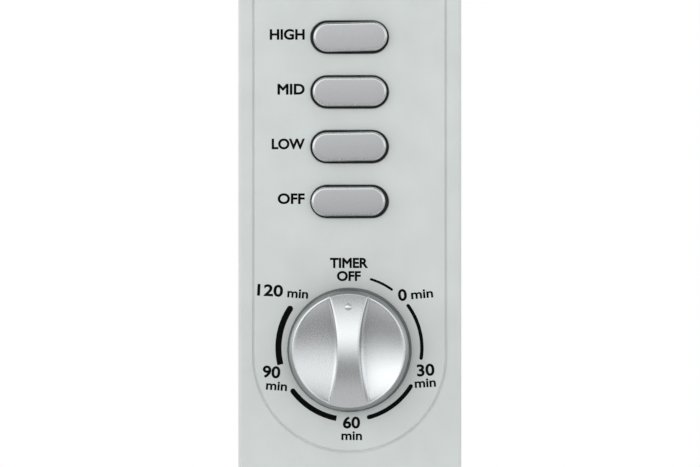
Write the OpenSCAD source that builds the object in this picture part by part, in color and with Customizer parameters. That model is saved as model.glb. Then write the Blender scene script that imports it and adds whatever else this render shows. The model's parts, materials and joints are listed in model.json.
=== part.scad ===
// Oil filled radiator heater on castors, with four push buttons and a run-down timer.
// Millimetres, +Z up. The control panel faces -Y. The origin is on the floor, under the
// middle of the heater's outline.

/* [Oil vessel] */
// Width of a fin, across the heater
fin_w = 98; // [92:1:100]
// Height of a fin
fin_h = 480; // [476:1:484]
// Thickness of each of a fin's two sheets
sheet = 0.6; // [0.5:0.1:1]
// Outer radius of the collars that join the fins
collar_r = 22; // [21.5:0.5:23]

/* [Control box] */
// Width of the control cover
cover_w = 104; // [103:1:108]
// Height of the control cover
cover_h = 468; // [464:1:480]
// Wall of the plastic shells
wall = 2.5; // [2:0.1:3]
// Radius of the cover's upright front edges
cover_edge_r = 2; // [1:0.5:4]
// Width of the engraved line round the controls
line_w = 1.5; // [0.8:0.1:2]
// Depth of the engraved line
line_d = 0.5; // [0.3:0.1:0.8]

/* [Buttons and knobs] */
// Distance from one push button to the next
button_pitch = 25.5; // [24:0.5:27]
// Width of a button cap
cap_w = 34.4; // [33:0.1:35]
// Height of a button cap
cap_h = 13.5; // [13:0.1:14]
// How far a cap stands out of the panel
cap_proud = 4; // [3:0.5:5]
// Travel of a button
button_travel = 4; // [3:0.5:4]
// Radius of a knob at its foot
knob_r = 29; // [27:0.5:30]
// Height of a knob above the panel
knob_h = 21; // [18:0.5:21]

/* [Feet and castors] */
// Length of a foot, across the heater
foot_l = 244; // [230:2:260]
// Radius of a castor wheel
wheel_r = 21; // [19:0.5:22]

/* [Handle] */
// Height of the finger gap under the handle
grip_gap = 28; // [26:1:34]

/* [Hidden] */
$fn = 64;
e = 0.01;                      // overlap that keeps cuts clean

// Colours
pale = [0.80, 0.82, 0.81];
silver = [0.72, 0.73, 0.74];
charcoal = [0.16, 0.16, 0.17];
zinc = [0.66, 0.68, 0.70];
copper_red = [0.72, 0.42, 0.25];
bakelite = [0.20, 0.17, 0.15];
ceramic_white = [0.92, 0.90, 0.86];
wire_brown = [0.38, 0.20, 0.12];
lamp_amber = [0.95, 0.45, 0.12];

// Depths behind the panel's face
cover_d = 62;                  // cover's rear edge
tray_d = 16;                   // depth of the rear housing
tray_back = cover_d + tray_d;
back_t = 2.2;                  // rear housing's back
board = tray_back - back_t;    // inner face of that back
shield_t = 1;
fin_count = 7;
fin_pitch = 44;
first_fin = 92;                // first fin's middle plane
last_fin = first_fin + (fin_count - 1) * fin_pitch;
boss_t = 16;                   // thickness of a fin at its headers
winder_face = last_fin + 14;   // front of the cord winder's plate
winder_t = 4;
winder_reach = 22;             // how far the winder's horns stand out
heater_end = winder_face + winder_t + winder_reach;

// The panel's face, so that the outline is centred on the origin
panel_y = -(heater_end - knob_h) / 2;
function back(d) = panel_y + d;
function fin_depth(i) = first_fin + (i - 1) * fin_pitch;

// Heights
foot_low = 50;                 // underside of a foot at its castors
foot_tip = 62;                 // top of a foot at its castors
foot_edge = 58;                // lower edge of a foot in its middle
fin_z = 72;                    // underside of the fins, on the feet
header_in = 50;                // header axis, in from the fin's end
low_header = fin_z + header_in;
high_header = fin_z + fin_h - header_in;
cover_z = 92;
cover_top = cover_z + cover_h;
timer_z = cover_z + 166;
off_z = timer_z + 69;
button_z = [for (i = [3:-1:0]) off_z + i * button_pitch];   // high, mid, low, off
knob_span = 2 * 69 + 3 * button_pitch;                      // timer to thermostat
thermostat_z = timer_z + knob_span;
lamp_z = timer_z + 174;

// The engraved line is a capsule round both knobs and the buttons
line_r = 44.8;
line_drop = 2.8;               // its arcs' centres, beyond the knobs' centres

// Each cap leans a little in its hole: turn in degrees, then shift across, high to off
cap_lean = [[1.3, 0.4], [0.2, 0.1], [1.0, -0.1], [0.4, -0.5]];
hole_w = cap_w + 2.1;
hole_h = cap_h + 1.9;

// Oil vessel
corner_r = 30;                 // corners of a fin
hem_w = 4.5;                   // folded hem
hem_half = 1.6;                // half of its thickness
channel_x = 19;                // oil channels, either side of the middle
lens_r = 17.5;                 // a channel's section is where two such circles cross
lens_off = 10.5;
boss_r = 26;
bore_r = 20;                   // opening from fin to fin
element_r = 3.5;
element_off = 8;               // heating tubes' legs, off the header axis
element_end = last_fin - 30;   // where a heating tube turns back
cutout_r = 6;                  // thermal cut-out

// Inside the control box
screw_r = 1.5;
cover_screws_at = [for (x = [-44, 44], z = [cover_z + 16, cover_top - 16]) [x, z]];
stud_r = 2.5;
stud_z = [166, 306, 446];
winder_z = 312;
winder_stud_z = [250, 374];
switch_front = 22;
switch_back = 46;
switch_w = 26;
plunger = 5;                   // side of a plunger
channel = plunger + 0.6;       // side of its channel
spring_r = 4.2;
spring_wire = 0.4;
case_front = 10;               // timer and thermostat cases
timer_case = [46, 28, 46];
thermostat_case = [42, 26, 34];
shaft_r = 3;
gland_x = -28;
gland_d = 44;                  // cord gland's axis, behind the panel's face
cord_r = 3.6;
pivot_d = 68;                  // tilt pendulum's pivot
pivot_z = 244;

// Feet and castors
foot_depth = [first_fin + fin_pitch / 2, last_fin - fin_pitch / 2];
foot_w = 60;
foot_t = 1.5;                  // sheet of a foot
nut_z = fin_z - foot_t - 9;    // underside of the wing nuts
ubolt_r = collar_r + 2.6;
castor_x = foot_l / 2 - 16;
trail = 13;                    // wheel axle, behind the swivel axis
stem_r = 4;
axle_r = 3;

// ---------------------------------------------------------------- helpers

// Extrudes a drawing in X and Z from depth d0 to d1 behind the panel's face
module deep(d0, d1) {
    translate([0, back(d1), 0])
        rotate([90, 0, 0])
            linear_extrude(d1 - d0)
                children();
}

// Cylinder along Y at (x, z), from depth d0 to d1
module rod(x, z, r, d0, d1) {
    translate([x, back(d0), z])
        rotate([-90, 0, 0])
            cylinder(r = r, h = d1 - d0);
}

// Cylinder along X at depth d and height z
module cross_rod(d, z, r, x0, x1) {
    translate([x0, back(d), z])
        rotate([0, 90, 0])
            cylinder(r = r, h = x1 - x0);
}

// Box from its low corner (x, depth, z), with its size
module block(corner, size) {
    translate([corner[0], back(corner[1]), corner[2]])
        cube(size);
}

// Rectangle with round corners, centred
module round_rect(w, h, r) {
    square([w - 2 * r, h], center = true);
    square([w, h - 2 * r], center = true);
    for (sx = [-1, 1], sy = [-1, 1])
        translate([sx * (w / 2 - r), sy * (h / 2 - r)])
            circle(r);
}

// Slot with full round ends, lying along X, centred
module stadium(w, h) {
    square([w - h, h], center = true);
    for (s = [-1, 1])
        translate([s * (w - h) / 2, 0])
            circle(h / 2);
}

// A tube along a list of points, as one closed polyhedron
function unit(v) = v / norm(v);
function heading(pts, i) = unit(pts[min(i + 1, len(pts) - 1)] - pts[max(i - 1, 0)]);
function level_off(v, t) = unit(v - (v * t) * t);
function side_of(t) = level_off(abs(t[0]) < 0.8 ? [1, 0, 0] : [0, 0, 1], t);
module tube(pts, r, sides) {
    n = len(pts);
    normals = [for (i = 0, v = side_of(heading(pts, 0)); i < n;
                    i = i + 1, v = i < n ? level_off(v, heading(pts, i)) : v) v];
    rings = [for (i = [0:n - 1], k = [0:sides - 1])
        let (a = 360 * k / sides, t = heading(pts, i))
            pts[i] + r * (cos(a) * normals[i] + sin(a) * cross(t, normals[i]))];
    walls = [for (i = [0:n - 2], k = [0:sides - 1])
        let (a = i * sides + k, b = i * sides + (k + 1) % sides)
            each [[a, b + sides, b], [a, a + sides, b + sides]]];
    near_end = [[for (k = [0:sides - 1]) k]];
    far_end = [[for (k = [sides - 1:-1:0]) (n - 1) * sides + k]];
    polyhedron(rings, concat(near_end, walls, far_end));
}

// Smooth line through hand-placed points, with a few steps between each pair
function between(a, b, c, d, t) =
    0.5 * (2 * b + (c - a) * t + (2 * a - 5 * b + 4 * c - d) * t * t
        + (3 * b - a - 3 * c + d) * t * t * t);
function smooth(p, steps) = concat(
    [for (i = [0:len(p) - 2], s = [0:steps - 1])
        between(p[max(i - 1, 0)], p[i], p[i + 1], p[min(i + 2, len(p) - 1)], s / steps)],
    [p[len(p) - 1]]);

// ---------------------------------------------------------------- control box

// Plan of the box: square at the back, round at the front edges
module box_plan(inset, d0, d1) {
    r = max(cover_edge_r - inset, 0.5);
    w = cover_w - 2 * inset;
    translate([-w / 2, d0 + r])
        square([w, d1 - d0 - r]);
    translate([-w / 2 + r, d0])
        square([w - 2 * r, d1 - d0]);
    for (s = [-1, 1])
        translate([s * (w / 2 - r), d0 + r])
            circle(r);
}

// Side view of the box: a large radius at the top front, a smaller one below
module box_side(inset, d0, d1) {
    top_r = 18 - inset;
    low_r = 9 - inset;
    z0 = cover_z + inset;
    z1 = cover_top - inset;
    translate([d0 + top_r, z0])
        square([d1 - d0 - top_r, z1 - z0]);
    translate([d0, z0 + low_r])
        square([d1 - d0, z1 - z0 - low_r - top_r]);
    translate([d0 + low_r, z0])
        square([d1 - d0 - low_r, z1 - z0 - top_r]);
    translate([d0 + top_r, z1 - top_r])
        circle(top_r);
    translate([d0 + low_r, z0 + low_r])
        circle(low_r);
}

module box_solid(inset, d0, d1) {
    intersection() {
        translate([0, panel_y, 0])
            linear_extrude(cover_top + 10)
                box_plan(inset, d0, d1);
        translate([-cover_w, panel_y, 0])
            rotate([90, 0, 90])
                linear_extrude(2 * cover_w)
                    box_side(inset, d0, d1);
    }
}

// Capsule round all the controls
module control_capsule(r) {
    mid = timer_z + knob_span / 2;
    translate([0, mid])
        rotate(90)
            stadium(knob_span + 2 * (line_drop + r), 2 * r);
}

// Screws of the switch, the timer and the thermostat: [x, z, depth of the seat]
component_screw_at = concat(
    [for (z = [off_z - 18, button_z[0] + 18]) [0, z, switch_front]],
    [for (s = [-1, 1]) [s * 30, timer_z, case_front]],
    [for (s = [-1, 1]) [s * 28, thermostat_z, case_front]]);

// Cuts for the rows of slots in both sides, near the bottom and near the top
module side_vents(d, length) {
    for (side = [-1, 1], i = [0:5], z = [cover_z + 28, cover_top - 60])
        block([side * (cover_w - wall) / 2 - wall, d, z + i * 7], [2 * wall, length, 3]);
}

module control_cover() color(pale) {
    difference() {
        box_solid(0, 0, cover_d);
        box_solid(wall, wall, cover_d + 1);
        deep(-1, line_d) difference() {
            control_capsule(line_r + line_w / 2);
            control_capsule(line_r - line_w / 2);
        }
        for (z = button_z)
            deep(-1, wall + 1) translate([0, z])
                stadium(hole_w, hole_h);
        for (z = [timer_z, thermostat_z])
            rod(0, z, shaft_r + 2.4, -1, wall + 1);
        rod(0, lamp_z, 3.6, -1, wall + 1);
        side_vents(13, 38);
        translate([gland_x, back(gland_d), cover_z - 1])
            cylinder(r = cord_r + 2.6, h = wall + 2);
        for (s = [-1, 1])
            translate([s * 40, back(39), cover_top - wall - 1])
                cylinder(r = screw_r + 0.3, h = wall + 2);
    }
    // posts that the rear housing screws into, each on a web from the side wall
    for (p = cover_screws_at) {
        difference() {
            union() {
                rod(p[0], p[1], 4, wall - e, board);
                block([p[0] > 0 ? p[0] + 3 : -cover_w / 2 + wall - e, wall, p[1] - 1],
                    [cover_w / 2 - wall - abs(p[0]) - 3 + e, cover_d - wall, 2]);
            }
            rod(p[0], p[1], screw_r, 40, tray_back);
        }
    }
    // posts for the switch, the timer and the thermostat
    for (p = component_screw_at)
        difference() {
            rod(p[0], p[1], 3.6, wall - e, p[2]);
            rod(p[0], p[1], screw_r, wall + 1, p[2] + 1);
        }
}

module rear_housing() color(pale)
    difference() {
        translate([0, back(cover_d), cover_z])
            difference() {
                translate([-cover_w / 2, 0, 0])
                    cube([cover_w, tray_d, cover_h]);
                translate([-cover_w / 2 + wall, -1, wall])
                    cube([cover_w - 2 * wall, tray_d - back_t + 1, cover_h - 2 * wall]);
            }
        rod(0, low_header, 26.5, board - 1, tray_back + 1);
        for (z = stud_z)
            rod(0, z, stud_r + 0.3, cover_d, tray_back + 1);
        for (p = cover_screws_at)
            rod(p[0], p[1], screw_r + 0.2, cover_d, tray_back + 1);
        side_vents(cover_d + 2, 9);
    }

module heat_shield() color(zinc)
    difference() {
        deep(tray_back, tray_back + shield_t)
            translate([0, cover_z + cover_h / 2])
                round_rect(76, cover_h - 12, 8);
        rod(0, low_header, 26.5, tray_back - 1, tray_back + 2);
        for (z = stud_z)
            rod(0, z, stud_r + 0.3, tray_back - 1, tray_back + 2);
    }

// Pan-head screw along Y: its head sits at depth d, and points to smaller depths
module pan_screw(x, z, d, length) {
    difference() {
        union() {
            rod(x, z, screw_r, d - length, d);
            rod(x, z, 3, d, d + 2);
        }
        for (turn = [0, 90])
            translate([x, back(d + 2), z])
                rotate([0, turn, 0])
                    cube([3.4, 2, 0.8], center = true);
    }
}

module cover_screws() color(zinc)
    for (p = cover_screws_at)
        pan_screw(p[0], p[1], tray_back, 30);

module component_screws() color(zinc)
    for (p = component_screw_at)
        pan_screw(p[0], p[1], p[2] + 3, 9);

module carry_handle() color(charcoal) {
    outer_w = 100;
    leg = 13;
    bar = 13;
    difference() {
        deep(28, 50) translate([0, cover_top]) difference() {
            translate([0, (grip_gap + bar) / 2 - 20])
                round_rect(outer_w, grip_gap + bar + 40, 18);
            translate([0, grip_gap / 2 - 20])
                round_rect(outer_w - 2 * leg, grip_gap + 40, 9);
            translate([-outer_w, -60])
                square([2 * outer_w, 60]);
        }
        for (s = [-1, 1])
            translate([s * 40, back(39), cover_top - 1])
                cylinder(r = screw_r, h = 15);
    }
    for (s = [-1, 1])
        translate([s * 40, back(39), cover_top])
            difference() {
                linear_extrude(3) round_rect(23.9, 30, 4);
                translate([0, 0, -1])
                    cylinder(r = screw_r, h = 6);
            }
}

module handle_screws() color(zinc)
    for (s = [-1, 1])
        translate([s * 40, back(39), cover_top - wall - 2]) {
            cylinder(r = 3, h = 2);
            cylinder(r = screw_r, h = wall + 15);
        }

// ---------------------------------------------------------------- push-button switch

module switch_body() color(bakelite) {
    ear = 13;
    z0 = off_z - 12;
    h = 3 * button_pitch + 24;
    difference() {
        union() {
            block([-switch_w / 2, switch_front, z0], [switch_w, switch_back - switch_front, h]);
            block([-6, switch_front, z0 - ear], [12, 3, h + 2 * ear]);
        }
        for (z = button_z) {
            block([-channel / 2, switch_front - 1, z - channel / 2], [channel, 21, channel]);
            block([0, switch_front + 7, z - 1.6], [switch_w, 10, 3.2]);
        }
        for (p = component_screw_at)
            rod(p[0], p[1], screw_r + 0.2, switch_front - 1, switch_front + 4);
    }
}

// Interlock plate on the side of the switch: the plungers' noses work in its windows
module latch_bar() color(zinc)
    difference() {
        block([switch_w / 2 + 0.15, switch_front + 4, off_z - 8],
            [1.2, 15, 3 * button_pitch + 15]);
        for (z = button_z)
            block([switch_w / 2 - 1, switch_front + 6.5, z - 3.4], [4, 10.5, 6.8]);
    }

// Button i, from high to off: a hollow cap with a retaining lip behind the panel, a square
// plunger, and a nose on the plunger's side that works the interlock
module button(i) color(silver) {
    z = button_z[i];
    inside = 2 - cap_proud;
    translate([cap_lean[i][1], 0, z])
        rotate([0, -cap_lean[i][0], 0])
            difference() {
                union() {
                    deep(-cap_proud, wall + 3) stadium(cap_w, cap_h);
                    deep(wall + 0.4, wall + 2) stadium(cap_w + 4.5, cap_h + 4);
                }
                deep(inside, wall + 4) stadium(cap_w - 3.2, cap_h - 3);
            }
    block([-plunger / 2, inside - e, z - plunger / 2], [plunger, 34 - inside, plunger]);
    block([plunger / 2 - e, switch_front + 8, z - 1], [switch_w / 2, 2.5, 2]);
}

module button_spring(i) color(zinc) {
    turns = 6;
    steps = 12;
    start = 2 - cap_proud + spring_wire;
    pitch = (switch_front - spring_wire - start) / (turns * steps);
    tube([for (k = [0:turns * steps])
        let (a = 360 * k / steps)
            [spring_r * cos(a), back(start + pitch * k), button_z[i] + spring_r * sin(a)]],
        spring_wire, 6);
}

// ---------------------------------------------------------------- timer and thermostat

// Case with a round bush through the panel and two ears
module shaft_case(size, z, ear_x) {
    difference() {
        union() {
            deep(case_front, case_front + size[1]) translate([0, z])
                round_rect(size[0], size[2], 3);
            rod(0, z, shaft_r + 2, -0.4, case_front + e);
            block([-ear_x - 5, case_front, z - 5], [2 * ear_x + 10, 3, 10]);
        }
        rod(0, z, shaft_r + 0.05, -1, case_front + 16);
        for (s = [-1, 1])
            rod(s * ear_x, z, screw_r + 0.2, case_front - 1, case_front + 4);
    }
}

module timer_case() color("whitesmoke")
    shaft_case(timer_case, timer_z, 30);

module thermostat_case() color(bakelite)
    shaft_case(thermostat_case, thermostat_z, 28);

module one_shaft(z) color(zinc)
    rod(0, z, shaft_r, -13, case_front + 15);

// Knob: a dished round body with a waisted bar across it to grip, and a pointer dot.
// It is drawn with its foot on the floor of its own frame, and then stood on the panel.
module knob_shape() {
    rim = 13.4;                // height of the rim
    dish = 7;                  // height of the finger scoops' floor
    waist = 5.1;               // half the bar's width at its middle
    side_r = 80;               // radius of the bar's hollow sides
    crown_r = (pow(knob_h - rim, 2) + pow(knob_r - 2, 2)) / (2 * (knob_h - rim));
    foot = 0.8;                // gap above the panel
    difference() {
        union() {
            difference() {
                rotate_extrude()
                    polygon([[0, foot], [knob_r, foot], [knob_r - 0.7, rim - 1],
                        [knob_r - 1.6, rim], [0, rim]]);
                // the scoops deepen towards the bar
                translate([0, 0, dish])
                    cylinder(r1 = 15, r2 = knob_r - 2.6, h = rim - dish + e);
            }
            intersection() {
                difference() {
                    translate([0, 0, foot + 4])
                        cylinder(r = knob_r - 1.7, h = knob_h);
                    for (s = [-1, 1])
                        translate([s * (waist + side_r), 0, foot])
                            cylinder(r = side_r, h = knob_h + 5, $fn = 128);
                }
                translate([-knob_r, 0, knob_h - crown_r])
                    rotate([0, 90, 0])
                        cylinder(r = crown_r, h = 2 * knob_r, $fn = 128);
            }
            translate([0, 20, knob_h - crown_r + sqrt(crown_r * crown_r - 400) - 0.4])
                sphere(1.6);
        }
        difference() {
            translate([0, 0, foot - 1])
                cylinder(r = knob_r - 3, h = 4.5);
            cylinder(r = 7, h = 6);
        }
        cylinder(r = shaft_r, h = 13);
    }
}

module one_knob(z) color(silver)
    translate([0, panel_y, z])
        rotate([90, 0, 0])
            knob_shape();

module pilot_lamp() color(lamp_amber) {
    rod(0, lamp_z, 4.6, -1, 0);
    rod(0, lamp_z, 3.5, -e, 24);
    intersection() {
        translate([0, back(3), lamp_z]) sphere(5.6);
        rod(0, lamp_z, 3.6, -3, -1 + e);
    }
}

// ---------------------------------------------------------------- electrics on the rear housing

module terminal_block() color("ivory")
    difference() {
        block([-26, board - 16, 176], [52, 16, 22]);
        for (x = [-12, 0, 12])
            translate([x, 0, 0]) {
                rod(0, 187, 3, board - 17, board - 8);
                translate([0, back(board - 8), 175])
                    cylinder(r = 2, h = 8);
            }
    }

module tilt_switch_frame() color(bakelite)
    difference() {
        block([-17, board - 14, 214], [34, 14, 38]);
        block([-14.5, board - 15, 216.5], [29, 12, 33]);
        rod(0, pivot_z, 1.55, board - 20, board - 0.5);
    }

module tilt_pendulum() color(zinc) {
    rod(0, pivot_z, 1.5, board - 13, board - 1);
    block([-1.5, board - 11, pivot_z - 18], [3, 4, 18]);
    rod(0, pivot_z - 19, 5, board - 12, board - 4);
}

// The leads, as points (x, depth, z) placed by hand from terminal to terminal
lead_r = 1.2;
leads = [
    // supply to tilt switch, to timer, to thermostat, to push-button switch
    [[-12, 68, 198], [-12, 68, 204], [-18, 68, 210], [-23, 68, 218], [-22, 68, 225],
        [-17, 68, 226]],
    [[17, 68, 240], [21, 68, 241], [25, 62, 246], [20, 50, 254], [10, 44, 258],
        [10, 38, 258]],
    [[-10, 38, 262], [-10, 45, 263], [-22, 51, 270], [-28, 52, 300], [-28, 52, 400],
        [-22, 50, 450], [-9, 43, 466], [-8, 36, 467]],
    [[6, 36, 466], [6, 43, 464], [4, 52, 448], [0, 55, 424], [0, 52, 406], [0, 46, 404]],
    // switch to the upper and the lower heating tube
    [[8, 46, 345], [8, 52, 344], [20, 56, 320], [32, 56, 250], [34, 54, 190],
        [24, 50, 150], [9, 49, 131], [8, 58, 130]],
    [[-6, 46, 395], [-6, 52, 393], [-30, 58, 350], [-38, 57, 300], [-40, 54, 244],
        [-36, 50, 180], [-22, 47, 135], [-4, 46, 114], [7, 48, 111], [8, 58, 114]],
    // neutral to the thermal cut-out, and on to both tubes
    [[12, 68, 198], [12, 66, 205], [12, 57, 205], [10, 53, 190], [3, 51, 160],
        [2, 51, 130], [3, 60, 122]],
    [[-2, 60, 125], [-3, 54, 128], [-8, 52, 131], [-8, 58, 130]],
    [[-2, 60, 119], [-3, 54, 116], [-8, 52, 113], [-8, 58, 114]],
    // earth to the middle stud
    [[0, 68, 198], [0, 66, 204], [0, 58, 210], [2, 56, 232], [2, 57, 276], [0, 61, 302],
        [0, 66, 306]]];

module wiring() color(wire_brown)
    for (lead = leads)
        tube([for (p = smooth(lead, 4)) [p[0], back(p[1]), p[2]]], lead_r, 8);

// Strain relief under the cover: the supply cord's only way in
module cord_gland() color(charcoal)
    translate([gland_x, back(gland_d), 0])
        difference() {
            union() {
                translate([0, 0, cover_z - 16])
                    cylinder(r1 = cord_r + 1.8, r2 = cord_r + 3.6, h = 13);
                translate([0, 0, cover_z - 3])
                    cylinder(r = cord_r + 5, h = 3);
                translate([0, 0, cover_z - e])
                    cylinder(r = cord_r + 2.4, h = 9);
                translate([0, 0, cover_z + wall + 0.1])
                    cylinder(r = cord_r + 5, h = 5, $fn = 6);
            }
            translate([0, 0, cover_z - 17])
                cylinder(r = cord_r, h = 30);
        }

// ---------------------------------------------------------------- oil vessel

// Bulged oil channel, standing along Z, with a rounded end above and below
module lens_column(r, z0, z1) {
    intersection() {
        translate([0, lens_off, z0])
            cylinder(r = r, h = z1 - z0);
        translate([0, -lens_off, z0])
            cylinder(r = r, h = z1 - z0);
    }
    for (end = [[z0, -lens_r - 5], [z1, 0]])
        intersection() {
            translate([0, lens_off, end[0]]) sphere(r);
            translate([0, -lens_off, end[0]]) sphere(r);
            translate([-30, -30, end[0] + end[1]])
                cube([60, 60, lens_r + 5]);
        }
}

// Rod along Y in a fin's own frame
module fin_rod(z, r, half) {
    translate([0, half, z])
        rotate([90, 0, 0])
            cylinder(r = r, h = 2 * half);
}

module fin_sheet(w, h, r, half) {
    translate([0, half, fin_z + fin_h / 2])
        rotate([90, 0, 0])
            linear_extrude(2 * half)
                round_rect(w, h, r);
}

module fin_shape() {
    difference() {
        union() {
            fin_sheet(fin_w, fin_h, corner_r, sheet);
            difference() {
                fin_sheet(fin_w, fin_h, corner_r, hem_half);
                fin_sheet(fin_w - 2 * hem_w, fin_h - 2 * hem_w, corner_r - hem_w, 2 * hem_half);
            }
            for (s = [-1, 1])
                translate([s * channel_x, 0, 0])
                    lens_column(lens_r, low_header, high_header);
            for (z = [low_header, high_header])
                fin_rod(z, boss_r, boss_t / 2);
        }
        for (s = [-1, 1])
            translate([s * channel_x, 0, 0])
                lens_column(lens_r - sheet, low_header, high_header);
        for (z = [low_header, high_header]) {
            fin_rod(z, boss_r - sheet, boss_t / 2 - sheet);
            fin_rod(z, bore_r, boss_t);
        }
    }
}

module fin(i) color(pale)
    translate([0, back(fin_depth(i)), 0])
        fin_shape();

module header_collars() color(pale)
    for (i = [1:fin_count - 1], z = [low_header, high_header])
        difference() {
            rod(0, z, collar_r, fin_depth(i) + boss_t / 2, fin_depth(i + 1) - boss_t / 2);
            rod(0, z, bore_r, fin_depth(i), fin_depth(i + 1));
        }

// Blind caps: front of the top header, and rear of the bottom one
module header_caps() color(pale) {
    rod(0, high_header, collar_r, first_fin - boss_t / 2 - 3, first_fin - boss_t / 2);
    rod(0, low_header, collar_r, last_fin + boss_t / 2, last_fin + boss_t / 2 + 4);
}

module oil_filler_plug() color(zinc) {
    face = last_fin + boss_t / 2;
    rod(0, high_header, collar_r, face, face + 3);
    translate([0, back(face + 3 - e), high_header])
        rotate([-90, 0, 0])
            cylinder(r = 9.8, h = 5, $fn = 6);
}

// Welded studs: three carry the control box, two carry the cord winder
module mounting_studs() color(zinc) {
    for (z = stud_z)
        rod(0, z, stud_r, 66, first_fin - sheet);
    for (z = winder_stud_z)
        rod(0, z, stud_r, last_fin + sheet, winder_face + 10);
}

module sleeve(z, d0, d1)
    difference() {
        rod(0, z, stud_r + 2, d0, d1);
        rod(0, z, stud_r, d0 - 1, d1 + 1);
    }

module stud_spacers() color(zinc) {
    for (z = stud_z)
        sleeve(z, tray_back + shield_t, first_fin - sheet);
    for (z = winder_stud_z)
        sleeve(z, last_fin + sheet, winder_face);
}

module nut(z, d)
    difference() {
        translate([0, back(d), z])
            rotate([-90, 0, 0])
                cylinder(r = 4.6, h = 4, $fn = 6);
        rod(0, z, stud_r, d - 1, d + 5);
    }

module mounting_nuts() color(zinc) {
    for (z = stud_z)
        nut(z, board - 4);
    for (z = winder_stud_z)
        nut(z, winder_face + winder_t);
}

// ---------------------------------------------------------------- heating elements

element_face = first_fin - boss_t / 2;

module element_flange() color([0.78, 0.66, 0.38])
    difference() {
        union() {
            rod(0, low_header, 25, element_face - 5, element_face);
            translate([0, back(element_face - 13), low_header])
                rotate([-90, 0, 0])
                    cylinder(r = 20.8, h = 8 + e, $fn = 6);
        }
        for (sx = [-1, 1], sz = [-1, 1])
            rod(sx * element_off, low_header + sz * element_off, element_r,
                element_face - 14, element_face + 1);
        rod(0, low_header, cutout_r, element_face - 14, element_face - 5);
    }

// One U-shaped heating tube: two legs with cold pins, joined by a bend at the far end
module heating_tube(side) color(copper_red) {
    z = low_header + side * element_off;
    for (s = [-1, 1]) {
        rod(s * element_off, z, element_r, element_face - 13, element_end);
        rod(s * element_off, z, 1.6, element_face - 26, element_face - 13 + e);
    }
    translate([0, back(element_end), z])
        rotate_extrude(angle = 180)
            translate([element_off, 0])
                circle(element_r);
}

module element_insulators() color(ceramic_white)
    for (sx = [-1, 1], sz = [-1, 1])
        difference() {
            rod(sx * element_off, low_header + sz * element_off, 3.2,
                element_face - 20, element_face - 13);
            rod(sx * element_off, low_header + sz * element_off, 1.6,
                element_face - 21, element_face - 12);
        }

module thermal_cutout() color(zinc)
    rod(0, low_header, cutout_r, element_face - 24, element_face - 5);

// ---------------------------------------------------------------- feet

// Top of a foot, seen from the front: flat in the middle, sloping to a low tip
function shoulder(x) = foot_tip + (fin_z - foot_tip) * (1 + cos(180 * (x - 50) / 42)) / 2;

// Outline of a foot from the front, between its top, lowered by drop, and its lower edge,
// lowered by skirt. It runs on past the tips, which the foot's plan cuts round
module foot_front_view(drop, skirt) {
    half = concat([for (x = [50:6:92]) [x, shoulder(x) - drop]],
        [[foot_l, foot_tip - drop], [foot_l, foot_low - skirt], [88, foot_low - skirt],
         [62, foot_edge - skirt], [0, foot_edge - skirt]]);
    far_half = [for (i = [len(half) - 2:-1:0]) [-half[i][0], half[i][1]]];
    polygon(concat(half, far_half));
}

// Foot seen from above: its sides run from the wide middle to the round tips. They end just
// inside the tips, so that the outlines cross cleanly
module foot_plan(inset) {
    wide = foot_w / 2 - inset;
    tip_r = 17 - inset;
    tip_x = foot_l / 2 - 17;
    end = [tip_x + 3, tip_r - 1];
    side = [[62, -wide], [end[0], -end[1]], end, [62, wide]];
    polygon(concat(side, [for (p = side) -p]));
    for (s = [-1, 1])
        translate([s * tip_x, 0])
            circle(tip_r);
}

module foot_solid(inset, skirt) {
    intersection() {
        translate([0, foot_w / 2 + 1, 0])
            rotate([90, 0, 0])
                linear_extrude(foot_w + 2)
                    foot_front_view(inset, skirt);
        translate([0, 0, foot_low - skirt - 1])
            linear_extrude(fin_z)
                foot_plan(inset);
    }
}

// Pressed sheet, open below, with a welded socket for each castor's stem
module foot_shape() {
    difference() {
        union() {
            difference() {
                foot_solid(0, 0);
                foot_solid(foot_t, 5);
            }
            for (s = [-1, 1])
                translate([s * castor_x, 0, foot_low])
                    cylinder(r = stem_r + 3.5, h = foot_tip - foot_low - foot_t / 2);
        }
        for (s = [-1, 1]) {
            translate([s * ubolt_r, 0, foot_low])
                cylinder(r = 3, h = fin_z);
            translate([s * castor_x, 0, foot_low - 1])
                cylinder(r = stem_r + 0.05, h = 11);
        }
    }
}

module foot(i) color(pale)
    translate([0, back(foot_depth[i]), 0])
        foot_shape();

module u_bolts() color(zinc)
    for (d = foot_depth)
        translate([0, back(d), low_header]) {
            rotate([90, 0, 0])
                rotate_extrude(angle = 180)
                    translate([ubolt_r, 0])
                        circle(2.5);
            for (s = [-1, 1])
                translate([s * ubolt_r, 0, nut_z - 5 - low_header])
                    cylinder(r = 2.5, h = low_header - nut_z + 5);
        }

module wing_nuts() color(charcoal)
    for (d = foot_depth, s = [-1, 1])
        translate([s * ubolt_r, back(d), nut_z])
            difference() {
                union() {
                    cylinder(r = 6, h = 9);
                    translate([-1.5, -15, 0])
                        cube([3, 30, 7]);
                }
                translate([0, 0, -1])
                    cylinder(r = 2.5, h = 12);
            }

module cord_winder() color(charcoal) {
    half_h = 116;
    shelf = 92;                // a horn's shelf, from the winder's middle
    difference() {
        deep(winder_face, winder_face + winder_t)
            translate([0, winder_z])
                round_rect(48, 2 * half_h, 16);
        for (z = winder_stud_z)
            rod(0, z, stud_r + 0.2, winder_face - 1, winder_face + winder_t + 1);
    }
    for (s = [-1, 1])
        translate([0, back(winder_face + winder_t), winder_z])
            mirror([0, 0, s < 0 ? 1 : 0]) {
                translate([-20, -e, shelf - 6])
                    cube([40, winder_reach - 1, 6]);
                translate([0, winder_reach, shelf + 8])
                    rotate([90, 0, 0])
                        linear_extrude(4)
                            round_rect(46, 30, 8);
            }
}

// ---------------------------------------------------------------- castors

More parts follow.
